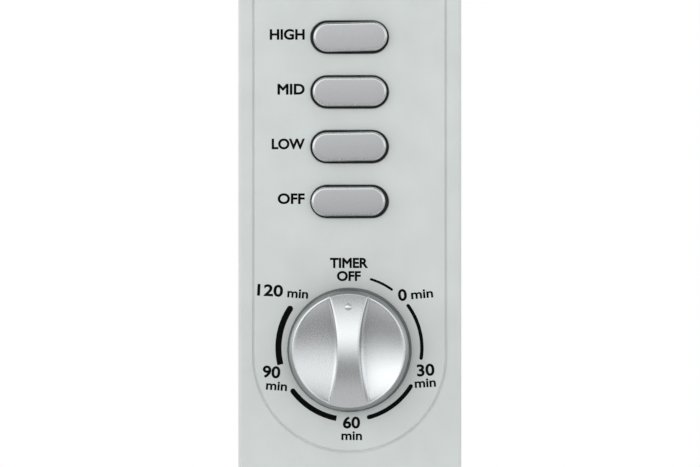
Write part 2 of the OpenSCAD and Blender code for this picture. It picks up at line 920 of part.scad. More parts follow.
// Castor at foot i (0 front, 1 rear), side s (-1 left, 1 right): the hood's stem turns in
// the foot, and the wheels trail behind it
module castor_at(i, s)
    translate([s * castor_x, back(foot_depth[i]) + trail, wheel_r])
        rotate([0, 90, 0])
            children();

module castor_hood(i, s) color(charcoal) {
    inner_r = wheel_r + 1.3;
    outer_r = inner_r + 2;
    half = 13.2;
    web = 2.4;
    swivel = [s * castor_x, back(foot_depth[i])];
    difference() {
        union() {
            intersection() {
                castor_at(i, s)
                    translate([0, 0, -half])
                        cylinder(r = outer_r, h = 2 * half);
                translate([swivel[0] - half, swivel[1] + trail - outer_r, wheel_r - 4])
                    cube([2 * half, 2 * outer_r, outer_r + 4]);
            }
            castor_at(i, s)
                translate([0, 0, -web])
                    cylinder(r = 8, h = 2 * web);
            translate([swivel[0], swivel[1], 36])
                cylinder(r = 9, h = foot_low - 0.4 - 36);
            translate([swivel[0], swivel[1], foot_low - 1])
                cylinder(r = stem_r, h = 10);
        }
        for (side = [-1, 1])
            castor_at(i, s)
                translate([0, 0, side < 0 ? -half - 5 : web])
                    cylinder(r = inner_r, h = half + 5 - web);
        castor_at(i, s)
            translate([0, 0, -half])
                cylinder(r = axle_r + 0.05, h = 2 * half);
    }
}

// Two wheels on one axle
module castor_wheels(i, s) color([0.25, 0.25, 0.26])
    castor_at(i, s) {
        for (side = [0, 1])
            mirror([0, 0, side])
                translate([0, 0, 3])
                    difference() {
                        cylinder(r = wheel_r, h = 9.4);
                        translate([0, 0, 7.4])
                            difference() {
                                cylinder(r = wheel_r - 4, h = 3);
                                cylinder(r = 6, h = 3);
                            }
                    }
        translate([0, 0, -5])
            cylinder(r = axle_r, h = 10);
    }

control_cover();
rear_housing();
heat_shield();
cover_screws();
component_screws();
carry_handle();
handle_screws();
switch_body();
latch_bar();
button_spring(0);  // spring_high
button_spring(1);  // spring_mid
button_spring(2);  // spring_low
button_spring(3);  // spring_off
button(0);  // button_high
button(1);  // button_mid
button(2);  // button_low
button(3);  // button_off
timer_case();
one_shaft(timer_z);  // timer_shaft
one_knob(timer_z);  // timer_knob
thermostat_case();
one_shaft(thermostat_z);  // thermostat_shaft
one_knob(thermostat_z);  // thermostat_knob
pilot_lamp();
terminal_block();
tilt_switch_frame();
tilt_pendulum();
wiring();
cord_gland();
fin(1);  // fin_1
fin(2);  // fin_2
fin(3);  // fin_3
fin(4);  // fin_4
fin(5);  // fin_5
fin(6);  // fin_6
fin(7);  // fin_7
header_collars();
header_caps();
oil_filler_plug();
mounting_studs();
stud_spacers();
mounting_nuts();
element_flange();
heating_tube(1);  // element_upper
heating_tube(-1);  // element_lower
element_insulators();
thermal_cutout();
foot(0);  // foot_front
foot(1);  // foot_rear
u_bolts();
wing_nuts();
cord_winder();
castor_hood(0, -1);  // castor_hood_front_left
castor_hood(0, 1);  // castor_hood_front_right
castor_hood(1, -1);  // castor_hood_rear_left
castor_hood(1, 1);  // castor_hood_rear_right
castor_wheels(0, -1);  // castor_wheels_front_left
castor_wheels(0, 1);  // castor_wheels_front_right
castor_wheels(1, -1);  // castor_wheels_rear_left
castor_wheels(1, 1);  // castor_wheels_rear_right
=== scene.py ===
"""Looks of an oil filled radiator heater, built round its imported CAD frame.

Metres, +Z up. The control panel faces -Y. Shapes are drawn in millimetres with depths counted
from the panel's face, and turned into metres in one place, place().
"""

import json
import math

import bmesh
import bpy
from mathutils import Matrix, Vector
from mathutils.geometry import tessellate_polygon


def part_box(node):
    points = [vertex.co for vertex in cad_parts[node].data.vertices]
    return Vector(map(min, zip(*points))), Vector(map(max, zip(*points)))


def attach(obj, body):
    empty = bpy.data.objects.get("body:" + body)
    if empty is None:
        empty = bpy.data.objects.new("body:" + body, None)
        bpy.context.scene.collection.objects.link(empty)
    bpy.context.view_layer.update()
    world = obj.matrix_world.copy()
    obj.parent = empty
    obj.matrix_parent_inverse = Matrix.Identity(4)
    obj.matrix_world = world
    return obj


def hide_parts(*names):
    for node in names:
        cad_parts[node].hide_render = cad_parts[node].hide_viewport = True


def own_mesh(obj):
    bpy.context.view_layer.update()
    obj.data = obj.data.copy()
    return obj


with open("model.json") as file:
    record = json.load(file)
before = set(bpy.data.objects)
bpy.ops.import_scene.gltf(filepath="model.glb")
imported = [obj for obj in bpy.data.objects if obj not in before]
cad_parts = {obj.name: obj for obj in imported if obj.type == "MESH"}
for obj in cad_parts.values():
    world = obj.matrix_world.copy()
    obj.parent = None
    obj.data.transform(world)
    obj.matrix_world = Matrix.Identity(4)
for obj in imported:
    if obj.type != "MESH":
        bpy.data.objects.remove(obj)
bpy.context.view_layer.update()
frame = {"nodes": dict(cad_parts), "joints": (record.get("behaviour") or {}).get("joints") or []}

MM = 0.001
TAU = 2 * math.pi
MERGE = 0.00001           # points nearer than this become one
FACE_WEIGHT = 60          # over 50, large faces count for more in the shading

# ---------------------------------------------------------------- places from the frame

joints = {joint["name"]: joint for joint in frame["joints"]}
nodes = frame["nodes"]


def box_mm(node):
    """Lowest and highest corner of a CAD node in millimetres."""
    lo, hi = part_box(node)
    return lo / MM, hi / MM


cover_lo, cover_hi = box_mm("control_cover")
housing_lo, housing_hi = box_mm("rear_housing")
PANEL_Y = cover_lo.y
COVER_W = cover_hi.x - cover_lo.x
COVER_BOTTOM = cover_lo.z
COVER_TOP = cover_hi.z
COVER_DEPTH = housing_lo.y - PANEL_Y
HOUSING_BACK = housing_hi.y - PANEL_Y
WALL = 2.5
TIMER_Z = joints["timer_turn"]["pos_m"][2] / MM
THERMOSTAT_Z = joints["thermostat_turn"]["pos_m"][2] / MM
LAMP_Z = sum(corner.z for corner in box_mm("pilot_lamp")) / 2


def depth_of(y_mm):
    """Millimetres behind the panel's face."""
    return y_mm - PANEL_Y


def place(x, depth, z):
    """Point in metres from millimetres across, behind the panel's face, and above the floor."""
    return Vector((x, PANEL_Y + depth, z)) * MM


# ---------------------------------------------------------------- mesh building


class Shape:
    """Collects points in metres and the faces between them, then makes them one object."""

    def __init__(self):
        self.points = []
        self.faces = []
        self.regions = []     # (first face, material) wherever the material changes

    def begin(self, material):
        """Faces made from now on take this material."""
        self.regions.append((len(self.faces), material))

    def add(self, points):
        """Adds points and returns their numbers."""
        start = len(self.points)
        self.points.extend(points)
        return list(range(start, len(self.points)))

    def strip(self, a, b, closed=True):
        """Quads between two rows of points."""
        count = len(a) if closed else len(a) - 1
        for i in range(count):
            j = (i + 1) % len(a)
            self.faces.append((a[i], a[j], b[j], b[i]))

    def strips(self, rows, closed=True):
        """Quads between each row and the next."""
        for a, b in zip(rows, rows[1:]):
            self.strip(a, b, closed)

    def fill(self, outer, holes=()):
        """Flat area inside a loop of points, with loops left open."""
        loops = [outer, *holes]
        flat = [i for loop in loops for i in loop]
        found = tessellate_polygon([[self.points[i] for i in loop] for loop in loops])
        self.faces.extend(tuple(flat[i] for i in triangle) for triangle in found)

    def lathe(self, profile, x, z, steps=24):
        """Turns (radius, depth) pairs round the line from front to back through (x, z)."""
        turn = [TAU * k / steps for k in range(steps)]
        rows = [self.add([place(x + radius * math.cos(a), depth, z + radius * math.sin(a))
                          for a in turn]) for radius, depth in profile]
        self.strips(rows)

    def tube(self, path, radius, sides=8):
        """Round tube along points in metres, with flat ends."""
        turn = [TAU * k / sides for k in range(sides)]
        last = len(path) - 1
        normal = None
        rows = []
        for i, point in enumerate(path):
            heading = (path[min(i + 1, last)] - path[max(i - 1, 0)]).normalized()
            if normal is None:
                normal = heading.orthogonal()
            normal = (normal - normal.dot(heading) * heading).normalized()
            other = heading.cross(normal)
            rows.append(self.add(
                [point + radius * (math.cos(a) * normal + math.sin(a) * other) for a in turn]))
        self.strips(rows)
        self.faces.append(tuple(reversed(rows[0])))
        self.faces.append(tuple(rows[-1]))

    def make(self, name, material, sharp=40, weighted=True):
        """Everything collected as one object. Edges over sharp degrees stay crisp."""
        mesh = bpy.data.meshes.new(name)
        mesh.from_pydata(self.points, [], self.faces)
        used = [material]
        used += [other for _, other in self.regions if other != material]
        for one in used:
            mesh.materials.append(one)
        for first, other in self.regions:
            for face in mesh.polygons[first:]:
                face.material_index = used.index(other)
        tidy_mesh(mesh)
        mesh.shade_smooth()
        mesh.set_sharp_from_angle(angle=math.radians(sharp))
        piece = bpy.data.objects.new(name, mesh)
        bpy.context.scene.collection.objects.link(piece)
        if weighted:
            normals = piece.modifiers.new("normals", "WEIGHTED_NORMAL")
            normals.keep_sharp = True
            normals.weight = FACE_WEIGHT
        return piece


def tidy_mesh(mesh):
    """Merges doubled points, drops empty faces, and turns the faces outwards."""
    bm = bmesh.new()
    bm.from_mesh(mesh)
    bmesh.ops.remove_doubles(bm, verts=bm.verts, dist=MERGE)
    bmesh.ops.dissolve_degenerate(bm, edges=bm.edges, dist=MERGE / 2)
    bmesh.ops.recalc_face_normals(bm, faces=bm.faces)
    bm.to_mesh(mesh)
    bm.free()


def settle(piece, body, slot, *replaced):
    """Says what a finished piece rides on and what it replaces. The slot is not used."""
    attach(piece, body)
    if replaced:
        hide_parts(*replaced)
    return piece


def arc(cx, cy, radius, start, end, steps):
    """Points of an arc, in degrees counted from +x towards +y."""
    angles = [math.radians(start + (end - start) * k / steps) for k in range(steps + 1)]
    return [(cx + radius * math.cos(a), cy + radius * math.sin(a)) for a in angles]


def stadium(cx, cz, width, height, grow=0.0, steps=16, turn=0.0):
    """Slot outline with full round ends, grown outwards by grow. The longer side may be either."""
    tall = height > width
    long, short = max(width, height), min(width, height)
    reach = (long - short) / 2
    radius = max(short / 2 + grow, 0.02)
    loop = arc(reach, 0, radius, -90, 90, steps) + arc(-reach, 0, radius, 90, 270, steps)
    angle = math.radians(turn + (90 if tall else 0))
    cosine, sine = math.cos(angle), math.sin(angle)
    return [(cx + cosine * x - sine * z, cz + sine * x + cosine * z) for x, z in loop]


def rounded(cx, cz, width, height, radius, grow=0.0, steps=5):
    """Rectangle outline with round corners, grown outwards by grow."""
    r = radius + grow
    x, z = width / 2 - radius, height / 2 - radius
    corners = [(x, z, 0), (-x, z, 90), (-x, -z, 180), (x, -z, 270)]
    return [p for dx, dz, a in corners for p in arc(cx + dx, cz + dz, r, a, a + 90, steps)]


def smooth_max(a, b, blend):
    """The larger of two values, with the crossing rounded over about blend."""
    h = max(0.0, min(1.0, 0.5 + 0.5 * (a - b) / blend))
    return b + (a - b) * h + blend * h * (1 - h)


# ---------------------------------------------------------------- materials

NOISE_LOW, NOISE_HIGH = 0.3, 0.7      # most of a noise lies between these


def set_stops(ramp, stops):
    """Gives a colour ramp its stops: (position, colour)."""
    while len(ramp.color_ramp.elements) < len(stops):
        ramp.color_ramp.elements.new(0.5)
    for element, (position, colour) in zip(ramp.color_ramp.elements, stops):
        element.position = position
        element.color = (*colour, 1)


def new_material(name, colour, roughness, metallic=0.0):
    """A Principled material with its constants on the shader's own sockets."""
    material = bpy.data.materials.new(name)
    material.use_nodes = True
    shader = material.node_tree.nodes["Principled BSDF"]
    shader.inputs["Base Color"].default_value = (*colour, 1)
    shader.inputs["Roughness"].default_value = roughness
    shader.inputs["Metallic"].default_value = metallic
    return material, shader


def noise(material, scale, detail=2.0, roughness=0.5):
    """Noise over the piece's own metres: scale is in features per metre."""
    tree = material.node_tree
    where = tree.nodes.new("ShaderNodeTexCoord")
    texture = tree.nodes.new("ShaderNodeTexNoise")
    texture.inputs["Scale"].default_value = scale
    texture.inputs["Detail"].default_value = detail
    texture.inputs["Roughness"].default_value = roughness
    tree.links.new(where.outputs["Object"], texture.inputs["Vector"])
    return texture.outputs["Fac"]


def vary_colour(material, shader, factor, low, high, start=NOISE_LOW, end=NOISE_HIGH):
    """Colour that goes from low to high with a noise."""
    ramp = material.node_tree.nodes.new("ShaderNodeValToRGB")
    set_stops(ramp, [(start, low), (end, high)])
    material.node_tree.links.new(factor, ramp.inputs["Fac"])
    material.node_tree.links.new(ramp.outputs["Color"], shader.inputs["Base Color"])


def vary_roughness(material, shader, factor, low, high):
    """Roughness that goes from low to high with a noise."""
    spread = material.node_tree.nodes.new("ShaderNodeMapRange")
    spread.inputs["From Min"].default_value = NOISE_LOW
    spread.inputs["From Max"].default_value = NOISE_HIGH
    spread.inputs["To Min"].default_value = low
    spread.inputs["To Max"].default_value = high
    material.node_tree.links.new(factor, spread.inputs["Value"])
    material.node_tree.links.new(spread.outputs["Result"], shader.inputs["Roughness"])


def bump(material, shader, factor, height):
    """Grain of that height in millimetres."""
    node = material.node_tree.nodes.new("ShaderNodeBump")
    node.inputs["Distance"].default_value = height * MM
    material.node_tree.links.new(factor, node.inputs["Height"])
    material.node_tree.links.new(node.outputs["Normal"], shader.inputs["Normal"])


def shade(colour, factor):
    """The colour made darker or lighter."""
    return tuple(min(1.0, c * factor) for c in colour)


def plastic(name, colour, roughness, grain=2500, depth=0.01, mottle=0.03):
    """Moulded plastic: faint mottling, uneven gloss and a fine sparked grain."""
    material, shader = new_material(name, colour, roughness)
    clouds = noise(material, 60, 3)
    vary_colour(material, shader, clouds, shade(colour, 1 - mottle), shade(colour, 1 + mottle))
    fine = noise(material, grain, 3, 0.6)
    vary_roughness(material, shader, fine, roughness - 0.06, roughness + 0.06)
    bump(material, shader, fine, depth)
    return material


def silver_paint(name, colour, roughness):
    """Satin silver paint: fine metal flakes in a clear binder."""
    material, shader = new_material(name, colour, roughness, 1.0)
    flakes = noise(material, 4200, 1, 0.5)
    vary_colour(material, shader, flakes, shade(colour, 0.92), shade(colour, 1.07), 0.35, 0.65)
    vary_roughness(material, shader, flakes, roughness - 0.03, roughness + 0.05)
    bump(material, shader, noise(material, 1500, 2), 0.002)
    return material


def powder_coat(name, colour, roughness):
    """Powder-coated sheet steel: a slight orange peel under a satin gloss."""
    material, shader = new_material(name, colour, roughness)
    clouds = noise(material, 25, 3)
    vary_colour(material, shader, clouds, shade(colour, 0.97), shade(colour, 1.02))
    peel = noise(material, 500, 2)
    vary_roughness(material, shader, peel, roughness - 0.05, roughness + 0.05)
    bump(material, shader, peel, 0.02)
    shader.inputs["Coat Weight"].default_value = 0.15
    shader.inputs["Coat Roughness"].default_value = 0.25
    return material


def plated(name, colour, roughness):
    """Plated or drawn metal with soft blotches."""
    material, shader = new_material(name, colour, roughness, 1.0)
    clouds = noise(material, 300, 4, 0.6)
    vary_colour(material, shader, clouds, shade(colour, 0.85), shade(colour, 1.08))
    vary_roughness(material, shader, clouds, roughness - 0.08, roughness + 0.1)
    bump(material, shader, noise(material, 1800, 2), 0.004)
    return material


def ink_material(name, colour):
    """Matt printing ink that hardly shines."""
    material, shader = new_material(name, colour, 0.5)
    shader.inputs["Specular IOR Level"].default_value = 0.05
    patches = noise(material, 900, 2)
    vary_colour(material, shader, patches, shade(colour, 0.8), shade(colour, 1.25))
    vary_roughness(material, shader, patches, 0.45, 0.6)
    return material


def lens_material(name, colour):
    """Tinted clear plastic of an indicator lamp."""
    material, shader = new_material(name, colour, 0.12)
    shader.inputs["Transmission Weight"].default_value = 0.35
    shader.inputs["Coat Weight"].default_value = 0.5
    facets = noise(material, 700, 1)
    vary_colour(material, shader, facets, shade(colour, 0.8), shade(colour, 1.1))
    return material


COVER = plastic("cover_grey", (0.605, 0.635, 0.620), 0.42)
SILVER = silver_paint("silver_satin", (0.63, 0.645, 0.652), 0.27)
# the caps' face; their edges take the lighter SILVER as a painted highlight
CAP_SILVER = silver_paint("silver_cap", (0.405, 0.41, 0.417), 0.36)
# darker copies of the knobs' silver for the rim's rounding and the side wall: painted shade, as
# the knob is one silver all over
RIM_SHADE = silver_paint("silver_rim_painted_shade", (0.36, 0.38, 0.38), 0.36)
SKIRT_SHADE = silver_paint("silver_skirt_painted_shade", (0.045, 0.055, 0.058), 0.36)
CHARCOAL = plastic("charcoal_plastic", (0.030, 0.031, 0.033), 0.5, 1800, 0.03, 0.12)
WHEEL = plastic("wheel_grey", (0.055, 0.056, 0.058), 0.55, 1200, 0.02, 0.15)
FIN_PAINT = powder_coat("fin_paint", (0.60, 0.63, 0.615), 0.34)
ZINC = plated("zinc_plate", (0.60, 0.61, 0.60), 0.34)
BRASS = plated("brass", (0.72, 0.55, 0.28), 0.3)
COPPER = plated("copper", (0.75, 0.40, 0.26), 0.34)
BAKELITE = plastic("bakelite", (0.045, 0.032, 0.026), 0.35, 900, 0.01, 0.2)
WHITE = plastic("white_plastic", (0.78, 0.77, 0.72), 0.45)
CERAMIC = plastic("steatite", (0.80, 0.78, 0.72), 0.25, 1500, 0.01, 0.05)
LENS = lens_material("amber_lens", (0.95, 0.35, 0.05))
SLEEVE = plastic("wire_sleeve", (0.32, 0.16, 0.08), 0.5, 1500, 0.02, 0.15)
INK = ink_material("ink", (0.0012, 0.0014, 0.0016))

# ---------------------------------------------------------------- camera, light and floor

VIEW_W = 325.6            # how much of the panel's plane the view spans, in millimetres
VIEW_UP = 54.1            # its middle, above the timer's axis
VIEW_RIGHT = 0.2          # and to the right of it
CAMERA_OFF = 1450.0       # camera, in front of the panel
CAMERA_RIGHT = 48.0       # and a little to the right of the heater's middle
SENSOR = 36.0

# the glow that the object sees round it, as (degrees above the horizon, strength)
GLOW_STOPS = [(-90, 0.5), (-47, 0.62), (-28, 0.30), (-19, 0.31), (-11, 0.55), (-2, 1.05),
              (10, 1.32), (18, 1.28), (29, 1.0), (47, 0.58), (60, 0.44), (72, 0.6), (80, 1.1),
              (90, 1.2)]
GLOW_TINT = (0.985, 1.0, 1.005)
GLOW = 1.09               # strength of the whole glow
GLOW_LEAN = 0.12          # added on the left, and taken off on the right

# what shiny parts see of the floor, as (y in metres, strength)
FLOOR_STOPS = [(-5.0, 0.95), (-3.1, 0.85), (-1.5, 0.52), (-1.0, 0.36), (-0.7, 0.42),
               (-0.45, 0.75), (0.0, 0.75), (1.0, 0.7)]
FLOOR_REACH = 5.0         # metres each way
FADE_START = 0.7          # metres from its middle where the floor begins to turn white
FADE_END = 2.4            # and where it is all white

KEY_SPOT = Vector((-0.8, -1.5, 0.95))     # metres from the timer's axis
KEY_SIZE = (2.0, 1.5)
KEY_POWER = 3.7
REAR_SPOT = Vector((0.6, 1.8, 1.6))
REAR_AIM = Vector((0, 0, 0.3))
REAR_SIZE = (1.2, 1.2)
REAR_POWER = 20


def look_at(thing, target):
    """Turns a camera or a light towards a point."""
    thing.rotation_mode = "QUATERNION"
    thing.rotation_quaternion = (target - thing.location).to_track_quat("-Z", "Y")


def make_camera():
    """Long lens in front of the panel, and a little to its right."""
    camera = bpy.data.objects.new("camera", bpy.data.cameras.new("camera"))
    bpy.context.scene.collection.objects.link(camera)
    camera.data.sensor_width = SENSOR
    camera.data.lens = SENSOR * CAMERA_OFF / VIEW_W
    camera.data.clip_start = 0.05
    camera.data.clip_end = 50
    camera.location = place(CAMERA_RIGHT, -CAMERA_OFF, TIMER_Z + VIEW_UP)
    look_at(camera, place(VIEW_RIGHT, 0, TIMER_Z + VIEW_UP))
    bpy.context.scene.camera = camera


def softbox(name, where, target, size, power):
    """Rectangular light that the camera doesn't see."""
    light = bpy.data.objects.new(name, bpy.data.lights.new(name, "AREA"))
    light.data.shape = "RECTANGLE"
    light.data.size, light.data.size_y = size
    light.data.energy = power
    light.location = where
    light.visible_camera = False
    look_at(light, target)
    bpy.context.scene.collection.objects.link(light)


def make_world():
    """White to the camera. The object gets a glow that changes with height and from left to
    right."""
    world = bpy.data.worlds.new("studio")
    world.use_nodes = True
    tree = world.node_tree
    tree.nodes.clear()
    seen = tree.nodes.new("ShaderNodeBackground")
    lit = tree.nodes.new("ShaderNodeBackground")
    path = tree.nodes.new("ShaderNodeLightPath")
    mix = tree.nodes.new("ShaderNodeMixShader")
    out = tree.nodes.new("ShaderNodeOutputWorld")
    where = tree.nodes.new("ShaderNodeTexCoord")
    split = tree.nodes.new("ShaderNodeSeparateXYZ")
    height = tree.nodes.new("ShaderNodeMapRange")
    side = tree.nodes.new("ShaderNodeMapRange")
    ramp = tree.nodes.new("ShaderNodeValToRGB")
    for share in (height, side):
        share.inputs["From Min"].default_value = -1
    side.inputs["To Min"].default_value = GLOW + GLOW_LEAN
    side.inputs["To Max"].default_value = GLOW - GLOW_LEAN
    tree.links.new(where.outputs["Generated"], split.inputs[0])
    tree.links.new(split.outputs["Z"], height.inputs["Value"])
    tree.links.new(split.outputs["X"], side.inputs["Value"])
    tree.links.new(height.outputs["Result"], ramp.inputs["Fac"])
    tree.links.new(ramp.outputs["Color"], lit.inputs["Color"])
    tree.links.new(side.outputs["Result"], lit.inputs["Strength"])
    set_stops(ramp, [((math.sin(math.radians(angle)) + 1) / 2, [strength * t for t in GLOW_TINT])
                     for angle, strength in GLOW_STOPS])
    seen.inputs["Color"].default_value = (1, 1, 1, 1)
    seen.inputs["Strength"].default_value = 1.0
    tree.links.new(path.outputs["Is Camera Ray"], mix.inputs["Fac"])
    tree.links.new(lit.outputs["Background"], mix.inputs[1])
    tree.links.new(seen.outputs["Background"], mix.inputs[2])
    tree.links.new(mix.outputs["Shader"], out.inputs["Surface"])
    bpy.context.scene.world = world


def floor_paint():
    """Pale paint that fades to white away from the heater. Shiny parts see it with a brightness
    set by how far in front of the heater it is."""
    material, shader = new_material("floor_paint", (0.82, 0.82, 0.82), 0.6)
    bump(material, shader, noise(material, 300, 2), 0.02)
    tree = material.node_tree
    where = tree.nodes.new("ShaderNodeTexCoord")
    split = tree.nodes.new("ShaderNodeSeparateXYZ")
    share = tree.nodes.new("ShaderNodeMapRange")
    ramp = tree.nodes.new("ShaderNodeValToRGB")
    glow = tree.nodes.new("ShaderNodeEmission")
    path = tree.nodes.new("ShaderNodeLightPath")
    mix = tree.nodes.new("ShaderNodeMixShader")
    away = tree.nodes.new("ShaderNodeVectorMath")
    fade = tree.nodes.new("ShaderNodeMapRange")
    shown = tree.nodes.new("ShaderNodeMath")
    white = tree.nodes.new("ShaderNodeEmission")
    blend = tree.nodes.new("ShaderNodeMixShader")
    away.operation = "LENGTH"
    fade.interpolation_type = "SMOOTHSTEP"
    fade.inputs["From Min"].default_value = FADE_START
    fade.inputs["From Max"].default_value = FADE_END
    shown.operation = "MULTIPLY"
    out = next(node for node in tree.nodes if node.type == "OUTPUT_MATERIAL")
    first, last = FLOOR_STOPS[0][0], FLOOR_STOPS[-1][0]
    share.inputs["From Min"].default_value = first
    share.inputs["From Max"].default_value = last
    set_stops(ramp, [((y - first) / (last - first), [strength] * 3)
                     for y, strength in FLOOR_STOPS])
    tree.links.new(where.outputs["Object"], split.inputs[0])
    tree.links.new(split.outputs["Y"], share.inputs["Value"])
    tree.links.new(share.outputs["Result"], ramp.inputs["Fac"])
    tree.links.new(ramp.outputs["Color"], glow.inputs["Color"])
    tree.links.new(path.outputs["Is Glossy Ray"], mix.inputs["Fac"])
    tree.links.new(shader.outputs["BSDF"], mix.inputs[1])
    tree.links.new(glow.outputs["Emission"], mix.inputs[2])
    tree.links.new(where.outputs["Object"], away.inputs[0])
    tree.links.new(away.outputs["Value"], fade.inputs["Value"])
    tree.links.new(fade.outputs["Result"], shown.inputs[0])
    tree.links.new(path.outputs["Is Camera Ray"], shown.inputs[1])
    tree.links.new(shown.outputs["Value"], blend.inputs["Fac"])
    tree.links.new(mix.outputs["Shader"], blend.inputs[1])
    tree.links.new(white.outputs["Emission"], blend.inputs[2])
    tree.links.new(blend.outputs["Shader"], out.inputs["Surface"])
    return material


def make_floor():
    """Square of floor, well past the heater on every side."""
    reach = FLOOR_REACH
    shape = Shape()
    loop = shape.add([Vector((x, y, 0)) for x, y in
                      [(-reach, -reach), (reach, -reach), (reach, reach), (-reach, reach)]])
    shape.fill(loop)
    shape.make("floor", floor_paint())


make_camera()
make_world()
timer_spot = place(0, 0, TIMER_Z)
softbox("key", timer_spot + KEY_SPOT, timer_spot, KEY_SIZE, KEY_POWER)
softbox("rear", REAR_SPOT, REAR_AIM, REAR_SIZE, REAR_POWER)
make_floor()
bpy.context.scene.view_settings.view_transform = "Standard"

# ---------------------------------------------------------------- control cover

EDGE_R = 2.0              # upright front edges
TOP_R = 18.0              # top front edge
LOW_R = 9.0               # bottom front edge
CORNER_STEPS, TOP_STEPS, LOW_STEPS = 6, 12, 10    # along those three
LINE_R = 44.8             # engraved line, at its middle
LINE_DROP = 2.8           # its ends' centres, past the knobs' axes
LINE_W = 1.7
LINE_DEEP = 0.85
SHAFT_HOLE = 10.8
LAMP_HOLE = 7.2
VENT_START = 13           # front end of each side slot, behind the panel's face
VENT_LENGTH, VENT_H = 38, 3
VENT_PITCH = 7
VENT_ROWS = 6             # in each of two groups
VENT_EDGE = 0.4
VENTS_LOW = 28            # lowest slot of one group, above the cover's bottom
VENTS_HIGH = 60           # and of the other, below its top
SCREW_R = 3               # heads of the cover screws
POST_R = 4                # posts that they go into
POST_BORE_R = 1.5
POST_BORE_DEPTH = 40      # where the bore ends, behind the panel's face
POST_BACK = 2.2           # from the posts' ends to the housing's back
BUTTONS = ["high", "mid", "low", "off"]
CAP_LEAN = {"high": 1.3, "mid": 0.2, "low": 1.0, "off": 0.4}
CAP_W, CAP_H = 34.4, 13.5
HOLE_W, HOLE_H = 36.5, 15.4
PITCH = 25.5
OFF_UP = 69.0             # the lowest button, above the timer's axis
BUTTON_Z = {name: TIMER_Z + OFF_UP + (3 - i) * PITCH for i, name in enumerate(BUTTONS)}


def engraved_loop(grow):
    """Capsule round the knobs and the buttons."""
    mid = (TIMER_Z + THERMOSTAT_Z) / 2
    tall = THERMOSTAT_Z - TIMER_Z + 2 * (LINE_DROP + LINE_R)
    return stadium(0, mid, 2 * LINE_R, tall, grow, 40)


def side_profile(inset):
    """The box seen from the side, from its top rear corner round the front: (depth, z)."""
    top_r, low_r = TOP_R - inset, LOW_R - inset
    bottom, top = COVER_BOTTOM + inset, COVER_TOP - inset
    upper = arc(inset + top_r, top - top_r, top_r, 90, 180, TOP_STEPS)
    lower = arc(inset + low_r, bottom + low_r, low_r, 180, 270, LOW_STEPS)
    return [(COVER_DEPTH, top), *upper, *lower, (COVER_DEPTH, bottom)]


def vent_loops(grow=0.0):
    """Outlines (depth, z) of the slots in one side."""
    rows = [z + i * VENT_PITCH + VENT_H / 2
            for z in (COVER_BOTTOM + VENTS_LOW, COVER_TOP - VENTS_HIGH) for i in range(VENT_ROWS)]
    return [stadium(VENT_START + VENT_LENGTH / 2, z, VENT_LENGTH, VENT_H, grow, 4) for z in rows]


def cover_skin(shape, inset, front_loops, vents):
    """One side of the shell. front_loops are loops of points already there, at its front, and
    vents those at its sides. Returns the loop of points round its rear edge."""
    profile = side_profile(inset)
    edge = max(EDGE_R - inset, 0.5)
    half = COVER_W / 2 - inset
    numbers = range(CORNER_STEPS + 1)
    turns = [math.radians(90 * k / CORNER_STEPS) for k in numbers]
    rows = {}
    for side in (-1, 1):
        for k, a in enumerate(turns):
            x = side * (half - edge + edge * math.sin(a))
            d = inset + edge * (1 - math.cos(a))
            rows[side, k] = shape.add([place(x, max(d, s), z) for s, z in profile])
        shape.strips([rows[side, k] for k in numbers], closed=False)
        shape.fill(rows[side, CORNER_STEPS], vents[side])
    left, right = rows[-1, 0], rows[1, 0]
    flat = TOP_STEPS + 1      # the profile's point where the flat front begins
    for i in range(len(profile) - 1):
        if i != flat:
            shape.faces.append((left[i], right[i], right[i + 1], left[i + 1]))
    shape.fill([left[flat], right[flat], right[flat + 1], left[flat + 1]], front_loops)
    top = [rows[-1, k][0] for k in reversed(numbers)] + [rows[1, k][0] for k in numbers]
    low = [rows[1, k][-1] for k in reversed(numbers)] + [rows[-1, k][-1] for k in numbers]
    return top + low


